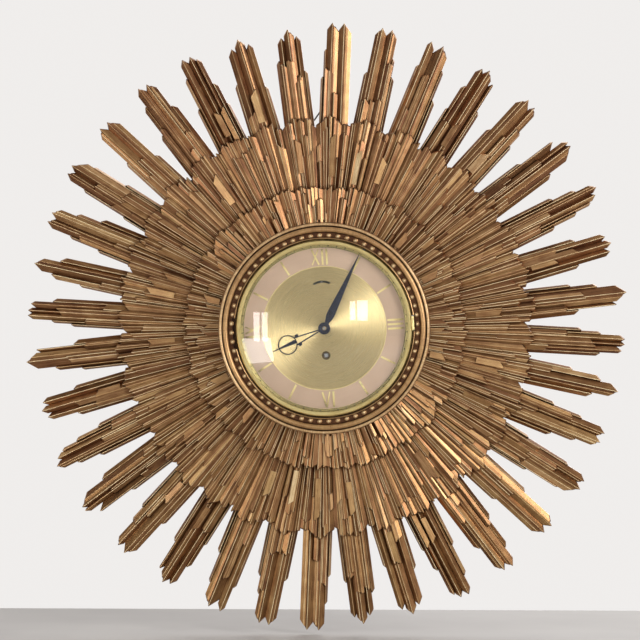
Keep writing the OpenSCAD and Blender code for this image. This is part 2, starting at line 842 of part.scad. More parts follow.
module escape_wheel() {
    teeth = [for (i = [0:escape_n - 1], k = [0:3])
        let (a = (i + [0, 0.34, 0.5, 0.3][k]) * 360 / escape_n,
            r = [escape_root, escape_tip - 0.25, escape_tip, escape_root][k])
        [r * cos(a), r * sin(a)]];
    color(steel) in_clock() at(escape_at) difference() {
        translate([0, 0, escape_lo]) linear_extrude(escape_hi - escape_lo) polygon(teeth);
        difference() {
            disc(escape_root - 0.7, 0, 60);
            disc(1.5, -1, 61);
            for (i = [0:3]) bar(90 * i, 0, 4, 0.7, -1, 61);
        }
        disc(0.7, 0, 60);
    }
}

// ---- lever escapement ----

pallet_pivot_r = 0.4;
lever_lo = 26.4;
lever_hi = 27.6;
stone_r = escape_tip + 0.5;
stone_angle = 32;
bridge_lo = 28.6;
bridge_hi = 29.4;

module pallet_lever() {
    gap = reach(escape_at, pallet_at);
    to_wheel = heading(pallet_at, escape_at);
    fork_len = reach(pallet_at, balance_at) - 1.1;
    color(steel) in_clock() at(pallet_at, lever_lo) difference() {
        union() {
            cylinder(r = 0.9, h = lever_hi - lever_lo);
            rotate(to_wheel) for (side = [-1, 1])
                linear_extrude(lever_hi - lever_lo) polygon([
                    [-0.5, 0], [gap - 6.35, side * 4.2], [gap - 5.6, side * 4.2], [0.5, 0]
                ]);
            rotate(heading(pallet_at, balance_at)) {
                translate([0, -0.45, 0]) cube([fork_len - 1.2, 0.9, lever_hi - lever_lo]);
                for (side = [-1, 1])
                    translate([fork_len - 1.8, side * 0.55 - 0.3, 0])
                        cube([1.8, 0.6, lever_hi - lever_lo]);
            }
        }
        translate([0, 0, -1]) cylinder(r = 0.6, h = 4);
        rotate(to_wheel) for (side = [-1, 1]) stone_block(side, 0.02);
    }
}

// One pallet stone, lying in its slot in the lever's arm
module stone_block(side, grow = 0) {
    gap = reach(escape_at, pallet_at);
    translate([gap, 0, 0]) rotate(180 + side * stone_angle)
        translate([stone_r, -0.35 - grow, -grow])
            cube([1.3, 0.7 + 2 * grow, lever_hi - lever_lo + 2 * grow]);
}

module pallet_stones() {
    color("crimson") in_clock() at(pallet_at, lever_lo) rotate(heading(pallet_at, escape_at))
        for (side = [-1, 1]) stone_block(side);
}

module pallet_arbor() {
    color(steel) in_clock() at(pallet_at) union() {
        disc(0.6, inner_lo + shake, bridge_lo - shake);
        disc(pallet_pivot_r, inner_lo - plate_t + shake, inner_lo + shake + eps);
        disc(pallet_pivot_r, bridge_lo - shake - eps, bridge_hi);
    }
}

module pallet_bridge() {
    across = heading(escape_at, pallet_at) + 90;
    foot = 7;
    color(brass) in_clock() at(pallet_at) rotate(across) difference() {
        union() {
            translate([-foot, -1.5, bridge_lo]) cube([2 * foot, 3, bridge_hi - bridge_lo]);
            for (side = [-1, 1]) translate([side * foot, 0, 0])
                disc(1.5, inner_lo, bridge_hi);
        }
        disc(pallet_pivot_r + run_fit, 0, 60);
    }
}

balance_r = 10.5;
balance_lo = 31;
balance_hi = 33;
hair_lo = 36.2;
hair_hi = 37;
curb_r = 7.2;

module balance_wheel() {
    color(bright_brass) in_clock() at(balance_at) union() {
        ring(balance_r - 1.4, balance_r, balance_lo, balance_hi);
        difference() {
            union() {
                disc(1.8, balance_lo + 0.4, balance_hi - 0.4);
                for (a = [20, 140, 260])
                    bar(a, 0, balance_r - 0.7, 1, balance_lo + 0.4, balance_hi - 0.4);
            }
            disc(0.9, 0, 60);
        }
    }
}

module balance_staff() {
    color(steel) in_clock() at(balance_at) union() {
        disc(0.6, inner_lo + shake, 28.6);
        disc(0.9, 28.6 - eps, 38);
        disc(0.6, 38 - eps, inner_hi - shake);
        disc(1.4, hair_lo, hair_hi);
        disc(0.4, inner_lo - plate_t + shake, inner_lo + shake + eps);
        disc(0.4, inner_hi - shake - eps, inner_hi + plate_t - shake);
    }
}

module impulse_roller() {
    color(steel) in_clock() at(balance_at) union() {
        ring(0.9, 2.4, 28.8, 29.6);
        rotate(heading(balance_at, pallet_at)) translate([1.75, 0, 27.9])
            cylinder(r = 0.25, h = 1);
    }
}

module hairspring() {
    coils = 6;
    r_in = 1.75;
    r_coil = 5.3;
    strip = 0.15;
    end_at = -135;
    steps = coils * 30 + 20;
    // The coils widen evenly, then step out to the outer arc that runs between the curb pins
    outline = [for (side = [0, 1], j = [0:steps])
        let (i = side == 0 ? j : steps - j, t = i / 30,
            r = t < coils - 0.2 ? r_in + (r_coil - r_in) * t / coils
                : min(curb_r, r_coil + (t - coils + 0.2) * 6) ,
            a = end_at + 360 * (i - steps) / 30)
        [(r + side * strip) * cos(a), (r + side * strip) * sin(a)]];
    color(steel) in_clock() at(balance_at, hair_lo)
        linear_extrude(hair_hi - hair_lo) polygon(outline);
}

module hairspring_stud() {
    color(steel) in_clock() at(balance_at) rotate(-135) translate([curb_r + 0.76, 0, 0])
        disc(0.6, hair_lo - 0.3, inner_hi);
}

module regulator_bush() {
    color(brass) in_clock() at(balance_at) ring(1, 3.4, plate_front, plate_front + 1.3);
}

module regulator_lever() {
    lo = plate_front + 0.2;
    hi = plate_front + 1;
    color(steel) in_clock() at(balance_at) union() {
        ring(3.4 + run_fit, 5.2, lo, hi);
        bar(90, 4.6, regulator_r + 0.7, 1.5, lo, hi);
        rotate(90) translate([regulator_r, 0, lo]) cylinder(r = 0.7, h = dial_face + 0.5 - lo);
        bar(-90, 4.6, curb_r + 0.9, 2, lo, hi);
        for (r = [curb_r - 0.5, curb_r + 0.65])
            rotate(-90) translate([r, 0, hair_lo]) cylinder(r = 0.2, h = lo + 0.4 - hair_lo);
    }
}

// ---- motion work ----

cannon_pipe_r = 2.6;
cannon_lo = plate_front + 0.4;

module cannon_pinion() {
    color(steel) in_clock() difference() {
        union() {
            pinion_teeth(cannon[1], cannon[2], cannon_lo, cannon_lo + 1.7, 0);
            disc(cannon_pipe_r - 0.4, cannon_lo, 54);
            disc(cannon_pipe_r, cannon_lo + 2, 54);
        }
        disc(centre_r, 0, 60);
    }
}

module minute_wheel() {
    toward = heading(centre_at, minute_wheel_at);
    color(brass) in_clock() at(minute_wheel_at) difference() {
        union() {
            wheel_teeth(cannon[0], cannon[2], plate_front + 0.6, plate_front + 1.8,
                in_mesh(toward, 0, cannon[1], cannon[0]));
            pinion_teeth(hour[1], hour[2], plate_front + 1.8 - eps, plate_front + 3.6, 0);
        }
        disc(1 + run_fit, 0, 60);
    }
}

module minute_wheel_post() {
    color(steel) in_clock() at(minute_wheel_at) disc(1, front_plate_z + 0.2, dial_z - 0.3);
}

hour_wheel_lo = plate_front + 2.4;
hour_pipe_r = 3.9;

module hour_wheel() {
    toward = heading(minute_wheel_at, centre_at);
    color(brass) in_clock() difference() {
        union() {
            wheel_teeth(hour[0], hour[2], hour_wheel_lo, hour_wheel_lo + 0.9,
                in_mesh(toward, 0, hour[1], hour[0]));
            disc(hour_pipe_r, hour_wheel_lo, 52.2);
        }
        disc(cannon_pipe_r + run_fit, 0, 60);
    }
}

// ---- hands ----

hour_z = 50.8;
minute_z = 53.4;
hand_t = 0.8;

module hour_hand() {
    arm_angle = 6.8;
    arm_end = 36.8;
    ball_angle = 8.8;
    ball_at = 33.4;
    ring_at = 46.6;
    color(blued) face_on() rotate(-hour_angle) translate([0, 0, hour_z]) difference() {
        union() {
            cylinder(r = 6.4, h = 1.2);
            for (side = [-1, 1]) {
                rotate(side * arm_angle) translate([-0.7, 5, 0])
                    cube([1.4, arm_end - 5, hand_t]);
                rotate(side * ball_angle) translate([0, ball_at, 0])
                    cylinder(r = 2.2, h = hand_t);
            }
            translate([0, ring_at, 0]) difference() {
                cylinder(r = 11.4, h = hand_t);
                translate([0, 0, -1]) cylinder(r = 10.2, h = 3);
            }
            linear_extrude(hand_t) polygon([
                [-1.2, 35.4], [1.2, 35.4], [2.3, 38], [0.9, 57], [0.15, hour_len],
                [-0.15, hour_len], [-0.9, 57], [-2.3, 38]
            ]);
        }
        translate([0, 0, -1]) cylinder(r = hour_pipe_r, h = 4);
    }
}

module minute_hand() {
    color(blued) face_on() rotate(-minute_angle) translate([0, 0, minute_z]) difference() {
        union() {
            translate([0, 0, -0.4]) cylinder(r = 7, h = 1.6);
            linear_extrude(hand_t) polygon([
                [-2, 5], [2, 5], [4.2, 13], [4.7, 18], [3.9, 34], [1.7, 71], [0.2, minute_len],
                [-0.2, minute_len], [-1.7, 71], [-3.9, 34], [-4.7, 18], [-4.2, 13]
            ]);
        }
        translate([0, 0, -1]) cylinder(r = cannon_pipe_r, h = 4);
    }
}

module hand_nut() {
    color(bright_brass) in_clock() ring(1.4, 2.3, minute_z + 1.2, minute_z + 2.6);
}

sunburst_frame();
hanging_wire();
wire_eyes();
dial_pan();
pan_screws();
back_cover();
cover_screws();
bezel_ring();
hinge_leaf();
hinge_pin();
hinge_screws();
domed_glass();
glass_retainer();
dial_plate();
chapter_ring();
hour_numerals();
hour_batons();
minute_dots();
dial_feet();
front_plate();
back_plate();
plate_pillars();
plate_nuts();
spring_barrel();
barrel_cover();
mainspring();
winding_arbor();
ratchet_wheel();
click();
click_screw();
click_spring();
intermediate_wheel();
intermediate_pinion();
centre_wheel();
centre_arbor();
third_wheel();
third_pinion();
fourth_wheel();
fourth_pinion();
escape_wheel();
escape_pinion();
pallet_lever();
pallet_arbor();
pallet_stones();
pallet_bridge();
balance_wheel();
balance_staff();
impulse_roller();
hairspring();
hairspring_stud();
regulator_bush();
regulator_lever();
cannon_pinion();
minute_wheel();
minute_wheel_post();
hour_wheel();
hour_hand();
minute_hand();
hand_nut();
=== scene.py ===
import math
import random

import bmesh
import bpy
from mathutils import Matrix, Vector

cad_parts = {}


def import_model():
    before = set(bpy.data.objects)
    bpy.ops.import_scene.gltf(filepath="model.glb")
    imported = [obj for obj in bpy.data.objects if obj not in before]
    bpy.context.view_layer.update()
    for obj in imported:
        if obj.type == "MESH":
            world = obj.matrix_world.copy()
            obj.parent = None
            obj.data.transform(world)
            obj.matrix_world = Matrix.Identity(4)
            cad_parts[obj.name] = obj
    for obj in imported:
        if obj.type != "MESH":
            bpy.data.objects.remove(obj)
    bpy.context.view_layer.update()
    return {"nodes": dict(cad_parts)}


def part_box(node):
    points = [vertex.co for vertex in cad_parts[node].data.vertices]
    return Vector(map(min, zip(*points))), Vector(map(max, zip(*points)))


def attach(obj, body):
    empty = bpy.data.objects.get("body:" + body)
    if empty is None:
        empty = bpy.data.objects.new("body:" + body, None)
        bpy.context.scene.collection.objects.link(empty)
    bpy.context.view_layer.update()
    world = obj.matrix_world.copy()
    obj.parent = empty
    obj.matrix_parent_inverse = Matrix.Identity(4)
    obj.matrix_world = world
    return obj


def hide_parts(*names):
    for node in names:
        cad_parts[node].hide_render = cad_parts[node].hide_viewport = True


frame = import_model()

# Lengths below are in millimetres, as x across, y up and z out of the wall from the hands'
# axis, and row() turns them into points of the row frame. Directions run clockwise from up.
MM = 0.001
dial_low, dial_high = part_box("dial_plate")
HUB = Vector(((dial_low.x + dial_high.x) / 2, 0, (dial_low.z + dial_high.z) / 2))
CLOCK_TURN = math.radians(3.5)  # the clock sits this far anticlockwise in its frame


def row(x, y, z):
    """The point of the row frame at a place on the clock."""
    return HUB + MM * Vector((x, -z, y))


def turned(x, y, z):
    """row() of a point that turns with the clock about the hands' axis."""
    c, s = math.cos(CLOCK_TURN), math.sin(CLOCK_TURN)
    return row(x * c - y * s, x * s + y * c, z)


# ---- mesh building ----


def closed_mesh(name, points, faces):
    """A mesh of closed shells, with every face turned outward."""
    mesh = bpy.data.meshes.new(name)
    mesh.from_pydata([tuple(p) for p in points], [], faces)
    work = bmesh.new()
    work.from_mesh(mesh)
    bmesh.ops.recalc_face_normals(work, faces=work.faces)
    work.to_mesh(mesh)
    work.free()
    return mesh


def add_object(name, data):
    thing = bpy.data.objects.new(name, data)
    bpy.context.scene.collection.objects.link(thing)
    return thing


class Build:
    """The closed shells of one piece. A face's tone runs from 0, dark glaze, to 1, unglazed leaf;
    the palest tones also stand for painted highlights.
    """

    def __init__(self):
        self.points, self.faces, self.tones = [], [], []

    def shell(self, points, faces, tones):
        first = len(self.points)
        self.points += points
        self.faces += [[first + i for i in face] for face in faces]
        self.tones += tones

    def piece(self, name, body, material, smooth=None):
        """Makes the object, rides it on its body, and shades it smooth up to an angle in degrees."""
        mesh = closed_mesh(name, self.points, self.faces)
        tone = mesh.attributes.new("tone", "FLOAT", "FACE")
        tone.data.foreach_set("value", self.tones)
        if smooth is not None:
            mesh.shade_smooth()
            mesh.set_sharp_from_angle(angle=math.radians(smooth))
        mesh.materials.append(material)
        thing = add_object(name, mesh)
        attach(thing, body)
        return thing


def arc(centre_r, centre_z, radius, start, end, steps):
    """Points of a lathe profile on an arc, in degrees from outward towards the viewer."""
    angles = [math.radians(start + (end - start) * i / steps) for i in range(steps + 1)]
    return [(centre_r + radius * math.cos(a), centre_z + radius * math.sin(a)) for a in angles]


def lathe(build, profile, tone, sides, centre=(0, 0), closed=True):
    """Turns a profile of (radius, height) about an axis out of the wall. tone(r, z) shades it.
    A profile that isn't closed starts and ends on the axis, where its ring is one point."""
    points, rings = [], []
    for r, z in profile:
        if r == 0:
            rings.append([len(points)] * sides)
            points.append(row(centre[0], centre[1], z))
            continue
        rings.append(list(range(len(points), len(points) + sides)))
        for i in range(sides):
            a = 2 * math.pi * i / sides
            points.append(row(centre[0] + r * math.sin(a), centre[1] + r * math.cos(a), z))
    faces, tones = [], []
    count = len(profile) if closed else len(profile) - 1
    for k in range(count):
        n = (k + 1) % len(profile)
        middle_r = (profile[k][0] + profile[n][0]) / 2
        middle_z = (profile[k][1] + profile[n][1]) / 2
        for i in range(sides):
            j = (i + 1) % sides
            face = [rings[k][i], rings[k][j], rings[n][j], rings[n][i]]
            faces.append(list(dict.fromkeys(face)))
            tones.append(tone(middle_r, middle_z))
    build.shell(points, faces, tones)


def parallel(direction):
    """Places (across, out, height) on a ray whose sides are parallel."""
    c, s = math.cos(math.radians(direction)), math.sin(math.radians(direction))
    return lambda u, v, z: row(v * s + u * c, v * c - u * s, z)


def fan(direction, at_radius):
    """Places (across, out, height) on a sector, where across is measured at at_radius."""
    def place(u, v, z):
        a = math.radians(direction) + u / at_radius
        return row(v * math.sin(a), v * math.cos(a), z)
    return place


CREST_HIGHLIGHT_WIDTH = 0.6  # width of the pale strip along a ridge, a painted highlight
CREST_HIGHLIGHT_TONE = 0.9, 1.3
RIDGE_MARGIN = 0.02  # least share of the width between a crest and the stick's side
VALLEY_DEPTH = 0.25, 0.5  # how far a valley lies under the line of its flank
VALLEY_NOTCH = 0.6, 1.8  # how far a valley's end stands back from the stick's
END_TONE = 0.35, 0.7
UNDERSIDE, SIDE = 0.12, 0.44  # tones


def ridge_places(peak, count):
    """Where a stick's ridges stand: the main one at its peak, and more on its wider flanks."""
    flanks = [peak / 2, (1 + peak) / 2]
    if count == 2:
        flanks = [flanks[0] if peak > 0.5 else flanks[1]]
    return sorted([peak] + flanks) if count > 1 else [peak]


class Stick:
    """One long fluted stick of the sunburst, in its ray's own directions.

    It runs out from root to tip and up from floor to top(out). Its peak, a share of the width,
    is its highest line, and drops say how far the left and right sides lie under that. slope is
    how fast its end falls back from the peak, and bevel is the length and depth of its cut end.
    ridges is how many crests run along it, and an even tone, when given, stands in place of random
    ones as a pale painted highlight.
    """

    def __init__(self, left, right, root, tip, floor, top, drops, peak, slope, bevel, rng,
                 ridges=1, painted_highlight_tone=None):
        self.left, self.width, self.root, self.tip = left, right - left, root, tip
        self.floor, self.top, self.peak, self.slope, self.bevel = floor, top, peak, slope, bevel
        half = min(0.4 / ridges, CREST_HIGHLIGHT_WIDTH / self.width / 2)
        self.shares, self.dips, self.notches, self.tones = [0], [drops[0]], [0], []
        before = None
        for place in ridge_places(peak, ridges):
            place = min(max(place, half + RIDGE_MARGIN), 1 - RIDGE_MARGIN - half)
            if before is not None:
                valley = (before + place) / 2
                self.shares.append(valley)
                self.dips.append(self.roof(valley, drops) + rng.uniform(*VALLEY_DEPTH))
                self.notches.append(rng.uniform(*VALLEY_NOTCH))
                self.tones.append(facet_tone(rng))
            self.shares += [place - half, place + half]
            self.dips += [self.roof(place, drops)] * 2
            self.notches += [0, 0]
            # the narrow strip on each crest is painted pale, a painted highlight
            if painted_highlight_tone is None:
                self.tones += [facet_tone(rng), rng.uniform(*CREST_HIGHLIGHT_TONE)]
            else:
                self.tones += [painted_highlight_tone, painted_highlight_tone]
            before = place
        self.tones.append(facet_tone(rng) if painted_highlight_tone is None else painted_highlight_tone * 0.9)
        self.shares.append(1)
        self.dips.append(drops[1])
        self.notches.append(0)
        self.end_tone = rng.uniform(*END_TONE)

    def roof(self, share, drops):
        """How far the stick's top, without its valleys, lies under its peak."""
        if share < self.peak:
            return drops[0] * (1 - share / self.peak)
        return drops[1] * (share - self.peak) / (1 - self.peak)

    def add_to(self, build, place):
        """Three cross-sections: the root, where the end bevel starts, and the tip."""
        count = len(self.shares)
        points = []
        for section in range(3):
            lower = []
            for share, dip, notch in zip(self.shares, self.dips, self.notches):
                end = self.tip - abs(share - self.peak) * self.width * self.slope - notch
                out = (self.root, end - self.bevel[0], end)[section]
                across = self.left + share * self.width
                top = self.top(out) - dip - (self.bevel[1] if section == 2 else 0)
                points.append(place(across, out, top))
                lower.append(place(across, out, self.floor))
            points += lower
        faces, tones = [], []
        step = 2 * count
        for s in (0, step):
            for i in range(count - 1):
                faces.append([s + i, s + i + 1, s + i + 1 + step, s + i + step])
                tones.append(self.tones[i] if s == 0 else self.end_tone)
                j = s + count + i
                faces.append([j, j + step, j + 1 + step, j + 1])
                tones.append(UNDERSIDE)
            for a, b in ((0, count), (step - 1, count - 1)):
                faces.append([s + a, s + a + step, s + b + step, s + b])
                tones.append(SIDE)
        for i in range(count - 1):
            faces.append([i, i + count, i + count + 1, i + 1])
            j = 2 * step + i
            faces.append([j, j + 1, j + 1 + count, j + count])
            tones += [SIDE, SIDE]
        build.shell(points, faces, tones)


# ---- the sunburst ----

TIP_R = 355.5  # radius of the longest tips
GAP_R = 236  # radius where the gaps between the rays end
RAY_ROOT = 222  # the rays start here, under the middle tier
RAY_BACK = 8  # height of the rays' underside
# One ray: [direction, width, sticks]; each stick from left to right is [share of the width,
# how far its tip falls short of TIP_R, where its peak stands, 0 to 1].
RAYS = [
    [2.2, 34, [[.08, 63, .8], [.08, 31, .8], [.40, 0, .45], [.44, 0, .42]]],
    [12, 36, [[.10, 54, .8], [.36, 0, .55], [.36, 0, .45], [.08, 33, .2], [.10, 54, .2]]],
    [22.3, 37, [[.08, 31, .8], [.26, 0, .4], [.48, 0, .5], [.08, 27, .2], [.10, 63, .2]]],
    [32.3, 37, [[.06, 63, .8], [.12, 30, .8], [.24, 3, .6], [.34, 0, .4], [.14, 12, .7],
        [.10, 48, .2]]],
    [42.6, 36, [[.10, 55, .8], [.46, 0, .55], [.28, 2, .4], [.08, 35, .2], [.08, 54, .2]]],
    [53.1, 37, [[.08, 59, .8], [.22, 14, .2], [.16, 0, .7], [.40, 0, .25], [.14, 38, .2]]],
    [63.4, 36, [[.10, 52, .8], [.10, 24, .8], [.28, 0, .55], [.22, 5, .4], [.10, 14, .3],
        [.10, 34, .2], [.10, 64, .2]]],
    [73.5, 35, [[.12, 48, .8], [.24, 13, .5], [.26, 8, .5], [.26, 12, .5], [.12, 51, .2]]],
    [83.5, 36, [[.08, 66, .8], [.12, 35, .8], [.52, 2, .5], [.12, 15, .8], [.16, 59, .2]]],
    [93.1, 32, [[.10, 57, .8], [.10, 34, .8], [.22, 6, .6], [.20, 6, .5], [.24, 9, .6],
        [.14, 34, .2]]],
    [102.1, 30, [[.10, 63, .8], [.20, 28, .8], [.50, 6, .5], [.20, 35, .2]]],
    [112, 39, [[.08, 74, .8], [.08, 38, .8], [.30, 7, .5], [.32, 8, .45], [.10, 36, .2],
        [.12, 65, .2]]],
    [122, 37, [[.06, 86, .8], [.08, 30, .8], [.30, 4, .5], [.44, 3, .3], [.05, 27, .2],
        [.07, 69, .2]]],
    [132.3, 35, [[.10, 54, .8], [.40, 4, .55], [.40, 5, .35], [.10, 73, .2]]],
    [142.5, 38, [[.11, 61, .8], [.13, 23, .8], [.30, 1, .5], [.32, 3, .4], [.14, 40, .2]]],
    [152.9, 38, [[.08, 61, .8], [.10, 23, .8], [.26, 1, .5], [.24, 2, .5], [.14, 8, .3],
        [.12, 42, .2], [.06, 70, .2]]],
    [162.8, 37, [[.10, 54, .8], [.26, 13, .6], [.34, 4, .5], [.22, 13, .5], [.08, 66, .2]]],
    [172.6, 35, [[.12, 40, .8], [.24, 14, .6], [.34, 5, .45], [.20, 14, .4], [.10, 55, .2]]],
]
PEAK_SLOPE = 1.35  # how fast a ray stick's end falls back from its peak

# Flat facets painted pale as highlights: [direction, radius of the inner end, radius of the outer
# end, width, tone].
# They and the rays come again half a turn on.
PAINTED_HIGHLIGHT_FACETS = [
    [10.9, 170, 211, 9, 1.1], [2.6, 176, 226, 7, .75], [19.6, 178, 210, 8, .9],
    [42.9, 248, 279, 10, .95], [33, 252, 284, 7, .7], [52, 180, 212, 8, .75],
    [65.5, 178, 204, 8, .85], [73.8, 250, 282, 8, .8], [85, 176, 208, 8, .75],
    [102, 180, 214, 8, .85], [115, 178, 216, 7, .7], [143.5, 180, 220, 9, .85],
    [153, 250, 282, 7, .75], [163, 250, 290, 9, .9], [41.5, 126, 146, 7, .75],
    [64, 126, 148, 8, .8], [104, 126, 146, 8, .75], [178, 126, 150, 8, .85],
    [126, 126, 148, 6, .7], [171.5, 182, 222, 7, .8],
]


def outer_top(out):
    """Height of the rays' face at a radius."""
    return 20.8 - 0.02 * (out - GAP_R)


def middle_top(out):
    """Height of the middle tier's face at a radius."""
    return 33 - 0.045 * (out - 150)


def inner_top(out):
    """Height of the inner tier's face at a radius."""
    return 43 - 0.05 * (out - 120)


def raised(top, rise):
    """The same face, higher by rise."""
    return lambda out: top(out) + rise


def facet_tone(rng):
    """Mostly glazed, and now and then worn brighter."""
    return rng.uniform(0.36, 0.7) + (rng.random() < 0.14) * rng.uniform(0.1, 0.3)


def ray_sticks(ray, rng):
    """The lowest sticks of a ray, which give it its outline, and the shorter ones on them."""
    width, shares = ray[1], ray[2]
    sticks, start = [], 0
    for i, (share, short, peak) in enumerate(shares):
        left = (start - 0.5) * width
        start += share
        if share >= 0.2:
            rise = rng.uniform(-0.6, 0.8)
            drops = [rng.uniform(3.2, 4.6)] * 2
        else:
            rise = -3.2 + 1.3 * min(i, len(shares) - 1 - i)
            drops = [1.2, 4.2] if peak < 0.5 else [4.2, 1.2]
        bevel = rng.uniform(0.6, 2), rng.uniform(0.8, 2.4)
        ridges = 2 if share > 0.27 else 1
        sticks.append(Stick(left, (start - 0.5) * width, RAY_ROOT, TIP_R - short, RAY_BACK,
                            raised(outer_top, rise), drops, peak, PEAK_SLOPE, bevel, rng, ridges))
    sticks += layer(rng, 0.12 * width - width / 2, 0.88 * width - width / 2, 5.5, 11, RAY_ROOT,
                    lambda s: rng.uniform(258, 322), RAY_BACK + 4, raised(outer_top, 1.4), 0.6)
    sticks += layer(rng, -0.3 * width, 0.3 * width, 5, 8, RAY_ROOT,
                    lambda s: rng.uniform(258, 292), RAY_BACK + 4, raised(outer_top, 3), 0.2)
    return sticks


def layer(rng, left, right, narrow, wide, root, tip, floor, top, share_kept=1.0):
    """Sticks side by side from left to right, of random width, peak, height and end. tip gives
    the radius of a stick's end from where it stands, and share_kept is how many aren't left out."""
    sticks = []
    while right - left > 0.5:
        width = rng.uniform(narrow, wide)
        if right - left - width < narrow:
            width = right - left
        peak = rng.choice([0.12, 0.3, 0.5, 0.5, 0.7, 0.88])
        steep = rng.uniform(0.16, 0.34) * width
        drops = [steep * min(1, 2 * peak), steep * min(1, 2 - 2 * peak)]
        end = tip(left + width / 2)
        face = raised(top, rng.uniform(-0.8, 0.8))
        slope = rng.uniform(0.3, 1.1)
        bevel = rng.uniform(0.5, 1.6), rng.uniform(0.8, 2)
        ridges = 1 if width < 7 else 2
        stick = Stick(left, left + width, root, end, floor, face, drops, peak, slope, bevel, rng,
                      ridges)
        if rng.random() < share_kept:
            sticks.append(stick)
        left += width
    return sticks


def painted_highlight_facet(rng, root, tip, width, tone, top):
    """A wide, nearly flat facet painted pale as a highlight, cut off aslant."""
    drops = [0.16 * width] * 2
    peak = rng.choice([0.15, 0.85])
    return Stick(-width / 2, width / 2, root, tip, top(tip) - 6, raised(top, 2.2), drops, peak,
                 slope=0.9, bevel=(0.6, 1.2), rng=rng, painted_highlight_tone=tone)


# One tier: [radius at which a sector's width is measured, radius of its edge, how far the edge
# falls back at a sector's sides, floor, face, root, least and most radius of the ends of the
# sticks laid on it, narrowest and widest stick]
TIERS = [
    [248, 248, 11, 17, middle_top, 150, 198, 236, 5, 11.5],
    [166, 167, 3, 25, inner_top, 116, 136, 160, 4, 8.5],
]


def tier_sticks(tier, half, rng):
    """A sector of a tier, half its angle to each side: its edge, and two thinner layers on it."""
    radius, edge, sag, floor, top, root, low, high, narrow, wide = tier
    side = half * radius
    sticks = layer(rng, -side, side, narrow, wide, root,
                   lambda s: edge - sag * (s / side) ** 2 + rng.uniform(-4, 1), floor, top)
    sticks += layer(rng, -side, side, narrow, wide, root,
                    lambda s: rng.uniform(low, high), floor, raised(top, 1.6), 0.6)
    sticks += layer(rng, -side, side, narrow, wide, root,
                    lambda s: rng.uniform(low - 14, low + 12), floor, raised(top, 2.8), 0.2)
    return sticks


def face_at(radius):
    """The face that shows at a radius."""
    if radius > 230:
        return outer_top
    return middle_top if radius > 160 else inner_top


def sunburst():
    """All rays and tiers, flat facets painted pale as highlights, and a plain backing. Each half
    turn repeats the first.
    """
    build = Build()
    rng = random.Random(11)
    count = len(RAYS)
    directions = [ray[0] for ray in RAYS]
    for k, ray in enumerate(RAYS):
        before = directions[k - 1] - (180 if k == 0 else 0)
        after = directions[(k + 1) % count] + (180 if k == count - 1 else 0)
        start, end = (before + ray[0]) / 2, (ray[0] + after) / 2
        middle, half = (start + end) / 2, math.radians(end - start) / 2
        outer = ray_sticks(ray, rng)
        fans = [(tier[0], tier_sticks(tier, half, rng)) for tier in TIERS]
        for half_turn in (0, 180):
            for stick in outer:
                stick.add_to(build, parallel(ray[0] + half_turn))
            for radius, sticks in fans:
                for stick in sticks:
                    stick.add_to(build, fan(middle + half_turn, radius))
    # pale flat facets, painted highlights
    for direction, root, tip, width, tone in PAINTED_HIGHLIGHT_FACETS:
        for half_turn in (0, 180):
            facet = painted_highlight_facet(rng, root, tip, width, tone, face_at(root))
            facet.add_to(build, parallel(direction + half_turn))
    backing = [(100, 7.4), (GAP_R - 6, 7.4), (GAP_R - 3, 14), (GAP_R - 20, 18), (100, 18)]
    lathe(build, backing, lambda r, z: UNDERSIDE, 144)
    return build.piece("sunburst_rays", "case", gilt())


BOX_FACES = [(0, 1, 3, 2), (4, 6, 7, 5), (0, 4, 5, 1), (2, 3, 7, 6), (0, 2, 6, 4), (1, 5, 7, 3)]


def cut(thing, boxes):
    """Cuts boxes out of a piece. Each box is its low and high corner in the turned clock."""
    for low, high in boxes:
        points = [turned(x, y, z) for z in (low[2], high[2]) for y in (low[1], high[1])
                  for x in (low[0], high[0])]
        cutter = add_object("cutter", closed_mesh("cutter", points, BOX_FACES))
        modifier = thing.modifiers.new("notch", "BOOLEAN")
        modifier.operation, modifier.object, modifier.solver = "DIFFERENCE", cutter, "EXACT"
        bpy.context.view_layer.update()
        evaluated = thing.evaluated_get(bpy.context.evaluated_depsgraph_get())
        cut_mesh = bpy.data.meshes.new_from_object(evaluated)
        thing.modifiers.clear()
        thing.data = cut_mesh
        bpy.data.objects.remove(cutter)


BEADS = 64
BEAD_CIRCLE = 107.9


def ring_tone(r, z):
    """Dark in the beads' channel, on the walls and in the groove, and paler the higher the mouldings
    stand.
    """
    if 105 < r < 112 or z < 50:
        return 0.2
    if 117.6 < r < 119:
        return 0.1
    paler_with_height = 0.65 if r > 118 else 0.45
    return 0.38 + paler_with_height * min(1, max(0, (z - 56) / 1.7))


